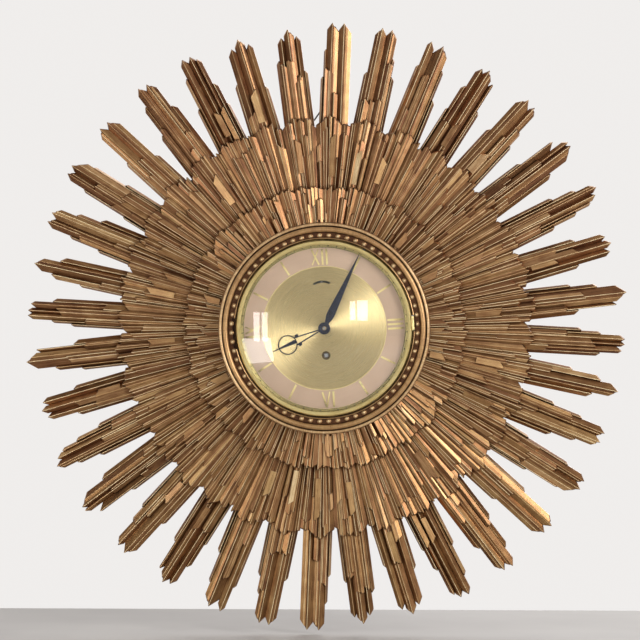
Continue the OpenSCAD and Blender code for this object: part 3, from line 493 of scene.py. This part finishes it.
def bead_ring():
    """The ring with two mouldings, cut for the finger notch and the hinge, and its beads."""
    build = Build()
    profile = [(101, 0), (130, 0), (134, 12), (123, 43), (123, 54.5)]
    profile += arc(120.7, 55.8, 2.1, -10, 175, 10)
    profile += arc(115, 56.6, 3.2, 5, 175, 12)
    profile += [(111, 55.4), (105.9, 55.4)]
    profile += arc(104.6, 57.4, 0.6, 0, 180, 4)
    profile += [(104, 46), (90, 46), (90, 3.4), (101, 3.4)]
    lathe(build, profile, ring_tone, 240)
    ring = build.piece("bead_ring", "case", gilt(), smooth=35)
    finger_notch = (-106.5, -18, 52), (-99.5, 18, 64)
    hinge_seat = (101.5, -9.5, 56), (106.2, 9.5, 64)
    cut(ring, [finger_notch, hinge_seat])
    beads = Build()
    dome = [(0, 55.2), (2.75, 55.2), (2.75, 55.9), (2.3, 56.1), (2.1, 57.2), (1.55, 58.2),
            (0.8, 58.75), (0, 58.9)]
    for i in range(BEADS):
        a = 2 * math.pi * (i + 0.5) / BEADS
        # each bead is dark at its foot in the channel and paler towards its crown, a painted
        # highlight
        lathe(beads, dome, lambda r, z: 0.25 if z < 56 else 0.75 + 0.15 * (z - 56), 14,
              (BEAD_CIRCLE * math.sin(a), BEAD_CIRCLE * math.cos(a)), closed=False)
    row_of_beads = beads.piece("bead_row", "case", gilt(), smooth=50)
    return ring, row_of_beads


# ---- materials ----


class Shader:
    """Builds one node material."""

    def __init__(self, name):
        self.material = bpy.data.materials.new(name)
        self.material.use_nodes = True
        self.tree = self.material.node_tree
        self.tree.nodes.clear()

    def add(self, kind, inputs=None, **settings):
        node = self.tree.nodes.new("ShaderNode" + kind)
        for key, value in settings.items():
            setattr(node, key, value)
        for key, value in (inputs or {}).items():
            if isinstance(value, bpy.types.NodeSocket):
                self.tree.links.new(value, node.inputs[key])
            else:
                node.inputs[key].default_value = value
        return node

    def math(self, operation, a, b=0.0, clamp=False):
        node = self.add("Math", {0: a, 1: b}, operation=operation, use_clamp=clamp)
        return node.outputs[0]

    def polar(self):
        """(direction in radians, radius in mm, height in mm) about the hands' axis."""
        place = self.add("SeparateXYZ", {0: self.add("TexCoord").outputs["Object"]}).outputs
        up = self.math("SUBTRACT", place["Z"], HUB.z)
        direction = self.math("ARCTAN2", place["X"], up)
        square = self.math("ADD", self.math("MULTIPLY", place["X"], place["X"]),
                           self.math("MULTIPLY", up, up))
        radius = self.math("MULTIPLY", self.math("SQRT", square), 1 / MM)
        return direction, radius, self.math("MULTIPLY", place["Y"], -1 / MM)

    def noise(self, vector, scale, detail=3.0, rough=0.5):
        node = self.add("TexNoise", {"Vector": vector, "Scale": scale, "Detail": detail,
                                     "Roughness": rough})
        return node.outputs["Fac"]

    def vector(self, x, y, z=0.0):
        return self.add("CombineXYZ", {0: x, 1: y, 2: z}).outputs[0]

    def spread(self, value, low, high, to_low=0.0, to_high=1.0):
        """Maps low and high to to_low and to_high, and stays within them."""
        node = self.add("MapRange", {"Value": value, "From Min": low, "From Max": high,
                                     "To Min": to_low, "To Max": to_high})
        return node.outputs[0]

    def ramp(self, value, stops):
        """A colour between (position, colour) stops."""
        node = self.add("ValToRGB", {0: value})
        elements = node.color_ramp.elements
        while len(elements) < len(stops):
            elements.new(0.5)
        for element, (at, colour) in zip(elements, stops):
            element.position, element.color = at, (*colour, 1)
        return node.outputs[0]

    def bump(self, height, strength, distance):
        node = self.add("Bump", {"Height": height, "Strength": strength, "Distance": distance})
        return node.outputs[0]

    def finish(self, inputs):
        shader = self.add("BsdfPrincipled", inputs)
        output = self.add("OutputMaterial")
        self.tree.links.new(shader.outputs[0], output.inputs["Surface"])
        return self.material


def once(make):
    """A material function runs once, and then gives the same material again."""
    made = []

    def get():
        if not made:
            made.append(make())
        return made[0]
    return get


# Tone to colour, for the redder and the yellower parts of the gilding. The redder, darker one
# takes over higher up the clock as painted light, and in random patches and facets.
REDDER = [(0.0, (0.032, 0.012, 0.008)), (0.22, (0.125, 0.048, 0.025)),
          (0.46, (0.29, 0.130, 0.062)), (0.72, (0.54, 0.31, 0.155)), (1.0, (0.93, 0.74, 0.46))]
YELLOWER = [(0.0, (0.034, 0.015, 0.007)), (0.22, (0.14, 0.065, 0.024)),
            (0.46, (0.33, 0.178, 0.068)), (0.72, (0.60, 0.385, 0.165)), (1.0, (0.96, 0.79, 0.48))]


@once
def gilt():
    """Bronze-gilt paint under a dark glaze that streaks lengthwise, with painted shade in its
    recesses and painted light that turns its upper parts redder and darker.
    """
    s = Shader("gilt")
    direction, radius, height = s.polar()
    along = s.vector(s.math("MULTIPLY", direction, 240), s.math("MULTIPLY", radius, 0.05),
                     s.math("MULTIPLY", height, 0.35))
    streak = s.noise(along, 0.9, 4, 0.6)
    patch = s.noise(s.vector(s.math("MULTIPLY", direction, 20), s.math("MULTIPLY", radius, 0.09)),
                    0.7, 2)
    speck = s.noise(s.add("TexCoord").outputs["Object"], 1400, 2, 0.7)
    tone = s.add("Attribute", attribute_name="tone", attribute_type="GEOMETRY").outputs["Fac"]
    # painted shade: ambient occlusion darkens the recesses between sticks and tiers
    painted_nook_shade = s.add("AmbientOcclusion", {"Distance": 6 * MM}, samples=6, only_local=True)
    level = s.math("ADD", s.math("MULTIPLY", tone, 0.72), s.spread(streak, 0.3, 0.7, -0.09, 0.1))
    level = s.math("ADD", level, s.spread(patch, 0.3, 0.7, -0.04, 0.05))
    level = s.math("ADD", level, s.spread(speck, 0.3, 0.7, -0.04, 0.04))
    # the occlusion scales the tone down in recesses, a painted shade
    painted_shade_share = s.spread(painted_nook_shade.outputs["AO"], 0.1, 0.75, 0.62, 1.04)
    level = s.math("MULTIPLY", level, painted_shade_share, clamp=True)
    # painted light: the higher up the clock, the more the colour leans to the redder, darker ramp
    up = s.math("MULTIPLY", radius, s.math("COSINE", direction))
    facet = s.add("TexWhiteNoise", {"W": tone}, noise_dimensions="1D").outputs["Value"]
    hue_and_painted_light = s.math("ADD", s.math("MULTIPLY", patch, 0.5), s.math("MULTIPLY", facet, 0.6))
    hue_and_painted_light = s.math("SUBTRACT", hue_and_painted_light, s.math("MULTIPLY", up, 0.0006), clamp=True)
    colour = s.add("Mix", {0: hue_and_painted_light, 6: s.ramp(level, REDDER), 7: s.ramp(level, YELLOWER)},
                   data_type="RGBA").outputs[2]
    rough = s.spread(s.math("ADD", streak, s.math("MULTIPLY", speck, 0.3)), 0.4, 0.9, 0.25, 0.42)
    relief = s.math("ADD", streak, s.math("MULTIPLY", speck, 0.35))
    return s.finish({"Base Color": colour, "Roughness": rough,
                     "Metallic": s.spread(level, 0.5, 0.85, 0.8, 0.4),
                     "Normal": s.bump(relief, 0.25, 0.25 * MM)})


def metal(name, colour, dark, rough, grain=2500, around=False, bump=0.08, metallic=1.0):
    """A worked metal: fine grain, tarnish in patches, uneven polish, and painted shade that darkens
    it where other parts crowd close. around gives turned lines about the hands' axis in place of
    even grain."""
    s = Shader(name)
    place = s.add("TexCoord").outputs["Object"]
    tarnish = s.noise(place, 60, 4, 0.6)
    if around:
        direction, radius, height = s.polar()
        fine = s.noise(s.vector(s.math("MULTIPLY", direction, 3),
                                s.math("MULTIPLY", radius, 6), height), 1.0, 3, 0.6)
    else:
        fine = s.noise(place, grain, 3, 0.6)
    tarnish_and_painted_shade = s.math("ADD", s.spread(tarnish, 0.3, 0.75, 0, 0.8), s.spread(fine, 0.3, 0.7, -0.1, 0.2))
    # painted shade: the colour darkens where other parts crowd close, as in holes and slots
    painted_nook_shade = s.add("AmbientOcclusion", {"Distance": 12 * MM}, samples=6).outputs["AO"]
    tarnish_and_painted_shade = s.math("ADD", s.math("MULTIPLY", tarnish_and_painted_shade, 0.6), s.spread(painted_nook_shade, 0.3, 0.85, 0.7, 0))
    tint = s.ramp(tarnish_and_painted_shade, [(0.05, colour), (0.55, dark), (1.0, [0.1 * c for c in dark])])
    polish = s.spread(s.math("ADD", tarnish, s.math("MULTIPLY", fine, 0.5)), 0.5, 1.0,
                      rough * 0.8, rough * 1.35)
    return s.finish({"Base Color": tint, "Metallic": metallic, "Roughness": polish,
                     "Normal": s.bump(fine, bump, 0.05 * MM)})


@once
def bright_brass():
    return metal("bright_brass", (1.0, 0.84, 0.40), (0.70, 0.53, 0.20), 0.18, around=True,
                 metallic=0.7)


@once
def numeral_brass():
    return metal("numeral_brass", (1.0, 0.88, 0.44), (0.86, 0.68, 0.28), 0.3, metallic=0.35)


@once
def case_brass():
    return metal("case_brass", (0.66, 0.50, 0.24), (0.40, 0.27, 0.11), 0.34)


@once
def movement_brass():
    return metal("movement_brass", (0.78, 0.58, 0.25), (0.52, 0.36, 0.14), 0.27, grain=1200)


@once
def steel():
    return metal("steel", (0.60, 0.60, 0.61), (0.36, 0.35, 0.34), 0.26)


@once
def spring_steel():
    return metal("spring_steel", (0.34, 0.37, 0.42), (0.17, 0.18, 0.22), 0.24)


@once
def zinc():
    return metal("zinc", (0.52, 0.54, 0.55), (0.33, 0.34, 0.34), 0.42, grain=300, bump=0.12)


@once
def wire():
    return metal("wire", (0.32, 0.30, 0.28), (0.13, 0.10, 0.08), 0.4)


@once
def blued_steel():
    """Dark blued steel with a thin oil film and a trace of straw at its rubbed places."""
    s = Shader("blued_steel")
    place = s.add("TexCoord").outputs["Object"]
    patch = s.noise(place, 90, 3, 0.6)
    fine = s.noise(place, 3000, 2, 0.6)
    colour = s.ramp(s.math("ADD", s.math("MULTIPLY", patch, 0.8), s.math("MULTIPLY", fine, 0.2)),
                    [(0.3, (0.012, 0.014, 0.030)), (0.6, (0.026, 0.032, 0.062)),
                     (0.85, (0.06, 0.055, 0.07))])
    rough = s.spread(patch, 0.3, 0.7, 0.24, 0.38)
    return s.finish({"Base Color": colour, "Metallic": 0.75, "Roughness": rough,
                     "Coat Weight": 0.25, "Coat Roughness": 0.2,
                     "Normal": s.bump(fine, 0.06, 0.03 * MM)})


@once
def spun_brass():
    """The dial: spun centre whose fine circles draw light into wedges, and an olive rim."""
    s = Shader("spun_brass")
    direction, radius, _ = s.polar()
    lines = s.noise(s.vector(s.math("MULTIPLY", direction, 0.6), s.math("MULTIPLY", radius, 4)),
                    1.0, 4, 0.7)
    cloud = s.noise(s.add("TexCoord").outputs["Object"], 25, 3, 0.5)
    shade = s.math("ADD", s.spread(lines, 0.3, 0.7, 0, 0.2), s.spread(cloud, 0.3, 0.7, 0, 0.4))
    centre = s.ramp(shade, [(0.0, (0.90, 0.72, 0.385)), (1.0, (0.70, 0.52, 0.25))])
    rim = s.ramp(shade, [(0.0, (0.95, 0.79, 0.36)), (1.0, (0.66, 0.52, 0.20))])
    at_rim = s.spread(radius, 93.2, 93.7)
    colour = s.add("Mix", {0: at_rim, 6: centre, 7: rim}, data_type="RGBA").outputs[2]
    rough = s.spread(lines, 0.3, 0.7, 0.24, 0.34)
    tangent = s.add("Tangent", direction_type="RADIAL", axis="Y").outputs[0]
    return s.finish({"Base Color": colour, "Metallic": 1.0, "Roughness": rough,
                     "Anisotropic": 0.85, "Anisotropic Rotation": 0.25, "Tangent": tangent,
                     "Normal": s.bump(lines, 0.02, 0.04 * MM)})


@once
def champagne():
    """Satin champagne silvering of the chapter ring, with faint circular brushing."""
    s = Shader("champagne")
    direction, radius, _ = s.polar()
    lines = s.noise(s.vector(s.math("MULTIPLY", direction, 1.2), s.math("MULTIPLY", radius, 3)),
                    1.0, 3, 0.6)
    cloud = s.noise(s.add("TexCoord").outputs["Object"], 30, 3, 0.5)
    shade = s.math("ADD", s.spread(lines, 0.3, 0.7, 0, 0.4), s.spread(cloud, 0.3, 0.7, 0, 0.6))
    colour = s.ramp(shade, [(0.0, (0.66, 0.475, 0.35)), (1.0, (0.55, 0.38, 0.27))])
    rough = s.spread(lines, 0.3, 0.7, 0.38, 0.5)
    return s.finish({"Base Color": colour, "Metallic": 0.35, "Roughness": rough,
                     "Normal": s.bump(lines, 0.05, 0.04 * MM)})


@once
def ruby():
    s = Shader("ruby")
    cloud = s.noise(s.add("TexCoord").outputs["Object"], 1500, 3, 0.6)
    colour = s.ramp(cloud, [(0.3, (0.30, 0.006, 0.02)), (0.8, (0.52, 0.02, 0.05))])
    rough = s.spread(cloud, 0.3, 0.7, 0.04, 0.1)
    return s.finish({"Base Color": colour, "Roughness": rough, "IOR": 1.76,
                     "Transmission Weight": 0.35})


@once
def clear_glass():
    """Clear window glass with faint smears. Lamps' light goes through it unbent."""
    s = Shader("clear_glass")
    smear = s.noise(s.add("TexCoord").outputs["Object"], 40, 4, 0.6)
    rough = s.spread(smear, 0.45, 0.8, 0.0, 0.05)
    glass = s.add("BsdfPrincipled", {"Base Color": (0.98, 1.0, 0.99, 1), "Roughness": rough,
                                     "IOR": 1.5, "Transmission Weight": 1.0})
    path = s.add("LightPath")
    clear = s.add("BsdfTransparent")
    passes = s.math("MAXIMUM", path.outputs["Is Shadow Ray"], path.outputs["Is Diffuse Ray"])
    both = s.add("MixShader", {0: passes, 1: glass.outputs[0], 2: clear.outputs[0]})
    output = s.add("OutputMaterial")
    s.tree.links.new(both.outputs[0], output.inputs["Surface"])
    return s.material


# ---- dial, glass and hands ----

DIAL_FACE = 48.2  # heights of the dial's and the chapter ring's faces
CHAPTER_FACE = 48.8
CHAPTER_IN, CHAPTER_OUT = 71.7, 93.6  # radii
DOT_CIRCLE = 95.6
MINUTE_ANGLE = 25.2  # where the minute hand points
# The minute hand's leaf: [distance from the axis, half width]
LEAF = [(4.6, 2), (9, 2.9), (13, 4.1), (17, 4.65), (22, 4.6), (34, 3.9), (52, 2.8), (71, 1.7),
        (86, 0.8), (96.5, 0.2)]
LEAF_LOW, LEAF_EDGE, LEAF_RIDGE = 53.4, 53.6, 54.2  # heights


def even(r, z):
    """The tone of turned pieces whose material doesn't use it."""
    return 1


def glass():
    """The dome, turned from two arcs, with a ground edge."""
    crown, thick, rim, edge = 71.2, 1.8, 99.8, 57.4
    rise = crown - edge
    sphere = (rim ** 2 + rise ** 2) / (2 * rise)
    centre = crown - sphere
    steps = 40
    radii = [rim * math.sin(math.pi / 2 * i / steps) for i in range(steps + 1)]
    outer = [(r, centre + math.sqrt(sphere ** 2 - r ** 2)) for r in radii]
    inner = [(r, centre + math.sqrt((sphere - thick) ** 2 - r ** 2)) for r in reversed(radii)]
    build = Build()
    lathe(build, outer + inner, even, 192, closed=False)
    dome = build.piece("glass_dome", "bezel", clear_glass(), smooth=40)
    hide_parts("domed_glass")


def dial_trim():
    """Gold borders at both edges of the chapter ring, and the minute dots."""
    build = Build()
    for r in (CHAPTER_IN - 0.1, CHAPTER_OUT + 0.1):
        profile = [(r + 0.55, DIAL_FACE)] + arc(r, CHAPTER_FACE - 0.25, 0.5, 0, 180, 6)
        profile += [(r - 0.55, DIAL_FACE)]
        lathe(build, profile, even, 192)
    build.piece("chapter_borders", "case", numeral_brass(), smooth=60)
    dots = Build()
    dome = [(0, DIAL_FACE), (0.9, DIAL_FACE), (0.9, 48.5), (0.72, 48.8), (0.4, 48.96), (0, 49)]
    for minute in range(60):
        a = math.radians(6 * minute) - CLOCK_TURN
        lathe(dots, dome, even, 12, (DOT_CIRCLE * math.sin(a), DOT_CIRCLE * math.cos(a)),
              closed=False)
    dotted = dots.piece("dot_markers", "case", numeral_brass(), smooth=60)
    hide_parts("minute_dots")


def blade(build, angle, stations, low, edge, ridge):
    """A hand's leaf: [distance, half width] stations, with a ridge along its middle."""
    c, s = math.cos(math.radians(angle)), math.sin(math.radians(angle))
    points, faces = [], []
    for out, half in stations:
        for across, z in ((-half, low), (-half, edge), (0, ridge), (half, edge), (half, low)):
            points.append(row(out * s + across * c, out * c - across * s, z))
    last = 5 * (len(stations) - 1)
    for k in range(0, last, 5):
        for i in range(5):
            j = (i + 1) % 5
            faces.append([k + i, k + j, k + j + 5, k + i + 5])
    faces += [[4, 3, 2, 1, 0], [last + i for i in range(5)]]
    build.shell(points, faces, [1] * len(faces))


def boss(build, radius, low, high, bore):
    """A turned hand boss with a rounded rim and a dished face."""
    profile = [(bore, low), (radius - 0.4, low)] + arc(radius - 0.5, high - 0.6, 0.5, -40, 90, 5)
    profile += [(radius * 0.62, high - 0.1), (radius * 0.55, high - 0.3), (bore + 0.7, high - 0.3),
                (bore + 0.5, high), (bore, high)]
    lathe(build, profile, even, 64)


def hands():
    """The minute hand with its boss, and the nut that holds it."""
    build = Build()
    blade(build, MINUTE_ANGLE, LEAF, LEAF_LOW, LEAF_EDGE, LEAF_RIDGE)
    boss(build, 7, 53, 54.6, 1.9)
    minute = build.piece("minute_leaf", "minute", blued_steel(), smooth=30)
    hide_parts("minute_hand")
    turned_nut = Build()
    collar = [(1.4, 54.6), (2.3, 54.6)] + arc(1.9, 55.6, 0.4, 0, 180, 6) + [(1.4, 55.4)]
    lathe(turned_nut, collar, even, 48)
    arbor_end = [(0, 54.8), (1.35, 54.8), (1.3, 55.2), (0.6, 55.4), (0, 55.45)]
    lathe(turned_nut, arbor_end, even, 32, closed=False)
    nut = turned_nut.piece("hand_nut_turned", "minute", case_brass(), smooth=40)
    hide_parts("hand_nut")


# ---- finishes of the CAD nodes ----

FINISHES = {
    bright_brass: ["bezel_ring", "glass_retainer", "hinge_leaf"],
    numeral_brass: ["hour_numerals", "hour_batons"],
    case_brass: ["dial_pan", "dial_feet", "regulator_bush", "hairspring_stud"],
    spun_brass: ["dial_plate"],
    champagne: ["chapter_ring"],
    zinc: ["back_cover"],
    wire: ["hanging_wire", "wire_eyes"],
    blued_steel: ["hour_hand"],
    ruby: ["pallet_stones"],
    spring_steel: ["mainspring", "hairspring", "click_spring"],
    movement_brass: ["front_plate", "back_plate", "plate_pillars", "spring_barrel",
                     "barrel_cover", "intermediate_wheel", "centre_wheel", "third_wheel",
                     "fourth_wheel", "escape_wheel", "pallet_bridge", "balance_wheel",
                     "minute_wheel", "hour_wheel"],
    steel: ["pan_screws", "cover_screws", "hinge_pin", "hinge_screws", "plate_nuts",
            "winding_arbor", "ratchet_wheel", "click", "click_screw", "intermediate_pinion",
            "centre_arbor", "third_pinion", "fourth_pinion", "escape_pinion", "pallet_lever",
            "pallet_arbor", "balance_staff", "impulse_roller", "regulator_lever",
            "cannon_pinion", "minute_wheel_post"],
}
# Width in mm of the bevel that rounds a node's sharp edges
EDGES = {"bezel_ring": 0.35, "hour_numerals": 0.42, "hour_batons": 0.42, "hour_hand": 0.18,
         "back_cover": 0.4, "dial_plate": 0.2, "chapter_ring": 0.12, "front_plate": 0.25,
         "back_plate": 0.25, "winding_arbor": 0.15, "regulator_lever": 0.1, "pan_screws": 0.12,
         "cover_screws": 0.2, "hinge_leaf": 0.15}


def dress_nodes():
    for finish, names in FINISHES.items():
        for name in names:
            node = frame["nodes"][name]
            node.data.materials.clear()
            node.data.materials.append(finish())
            if name in EDGES:
                bevel = node.modifiers.new("edges", "BEVEL")
                bevel.width, bevel.segments = EDGES[name] * MM, 2
                bevel.limit_method, bevel.angle_limit = "ANGLE", math.radians(40)


# ---- floor, light and camera ----


FLOOR_DROP = 0.360  # from here on lengths are in metres: the floor lies this far under HUB
FLOOR_HALF_WIDTH, FLOOR_NEAR, FLOOR_FAR = 3, -4, 0.28
WORLD_FRONT = 0.41, 0.395, 0.375
WORLD_BACK = 0.87, 0.85, 0.835
# One lamp: [name, place from the middle of the dial, width and height, watts, colour]. The panes
# are weak, and made to show in the glass. The others light the clock.
PANE_COLOUR = 1.0, 0.98, 0.96
LAMPS = [
    ["left pane", (-1.26, -2.27, -0.055), (0.11, 0.5), 1.1, PANE_COLOUR],
    ["left pane 2", (-1.13, -2.34, -0.055), (0.11, 0.5), 1.1, PANE_COLOUR],
    ["right pane", (0.41, -2.56, 0.237), (0.10, 0.34), 0.7, PANE_COLOUR],
    ["right pane 2", (0.58, -2.52, 0.237), (0.19, 0.36), 1.3, PANE_COLOUR],
    ["room left", (-1.55, -1.9, -1.0), (0.9, 1.0), 135, (1.0, 0.965, 0.92)],
    ["window near", (-0.75, -0.95, -0.55), (0.7, 0.9), 9, (1.0, 0.965, 0.93)],
    ["room right", (1.75, -1.95, 0.60), (0.9, 1.0), 37, (1.0, 0.98, 0.96)],
    ["back fill", (0.6, 1.8, 0.6), (1.6, 1.6), 20, (1.0, 1.0, 1.0)],
]
CAMERA_TARGET = HUB + Vector((-0.0066, -0.014, 0.0084))
CAMERA_AZIMUTH, CAMERA_ELEVATION = math.radians(2.4), math.radians(1.8)
CAMERA_DISTANCE = 5
FRAME_WIDTH = 0.748  # what the picture spans at the rays' plane


def floor():
    """The floor under the clock, which is no part of it."""
    mesh = bpy.data.meshes.new("floor")
    z = HUB.z - FLOOR_DROP
    mesh.from_pydata([(x, y, z) for x, y in (
        (-FLOOR_HALF_WIDTH, FLOOR_NEAR), (FLOOR_HALF_WIDTH, FLOOR_NEAR),
        (FLOOR_HALF_WIDTH, FLOOR_FAR), (-FLOOR_HALF_WIDTH, FLOOR_FAR))], [], [(0, 1, 2, 3)])
    s = Shader("floor")
    mottle = s.noise(s.add("TexCoord").outputs["Object"], 6, 3)
    tint = s.ramp(mottle, [(0.3, (0.46, 0.44, 0.43)), (0.7, (0.52, 0.50, 0.485))])
    mesh.materials.append(s.finish({"Base Color": tint, "Roughness": 0.75}))
    add_object("floor", mesh)


def world():
    """Pale surroundings, brighter behind the clock than in front of it."""
    studio = bpy.data.worlds.new("studio")
    studio.use_nodes = True
    bpy.context.scene.world = studio
    tree = studio.node_tree
    place = tree.nodes.new("ShaderNodeTexCoord")
    parts = tree.nodes.new("ShaderNodeSeparateXYZ")
    back_share = tree.nodes.new("ShaderNodeMapRange")
    back_share.inputs["From Min"].default_value = -1
    ramp = tree.nodes.new("ShaderNodeValToRGB")
    tree.links.new(place.outputs["Generated"], parts.inputs[0])
    tree.links.new(parts.outputs["Y"], back_share.inputs["Value"])
    tree.links.new(back_share.outputs[0], ramp.inputs[0])
    tree.links.new(ramp.outputs[0], tree.nodes["Background"].inputs["Color"])
    stops = ramp.color_ramp.elements
    stops[0].position, stops[0].color = 0.30, (*WORLD_FRONT, 1)
    stops[1].position, stops[1].color = 0.75, (*WORLD_BACK, 1)


def lamps():
    """Area lamps, each turned towards the middle of the dial."""
    middle = HUB + Vector((0, -0.03, 0))
    for name, place, size, power, colour in LAMPS:
        lamp = bpy.data.lights.new(name, "AREA")
        lamp.shape, lamp.energy, lamp.color = "RECTANGLE", power, colour
        lamp.size, lamp.size_y = size
        thing = add_object(name, lamp)
        thing.location = middle + Vector(place)
        thing.rotation_mode = "QUATERNION"
        thing.rotation_quaternion = (-Vector(place)).to_track_quat("-Z", "Y")


def camera():
    """The view from the front, a little from the right and from above."""
    level = math.cos(CAMERA_ELEVATION)
    back = Vector((math.sin(CAMERA_AZIMUTH) * level, -math.cos(CAMERA_AZIMUTH) * level,
                   math.sin(CAMERA_ELEVATION)))
    data = bpy.data.cameras.new("camera")
    data.sensor_width = 36
    data.lens = data.sensor_width * CAMERA_DISTANCE / FRAME_WIDTH
    data.clip_start, data.clip_end = 0.05, 50
    thing = add_object("camera", data)
    thing.location = CAMERA_TARGET + back * CAMERA_DISTANCE
    thing.rotation_mode = "QUATERNION"
    thing.rotation_quaternion = (-back).to_track_quat("-Z", "Y")
    bpy.context.scene.camera = thing


camera()
rays = sunburst()
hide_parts("sunburst_frame")
for part in bead_ring():
    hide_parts("sunburst_frame")
glass()
dial_trim()
hands()
dress_nodes()
floor()
world()
lamps()
bpy.context.scene.view_settings.view_transform = "Standard"
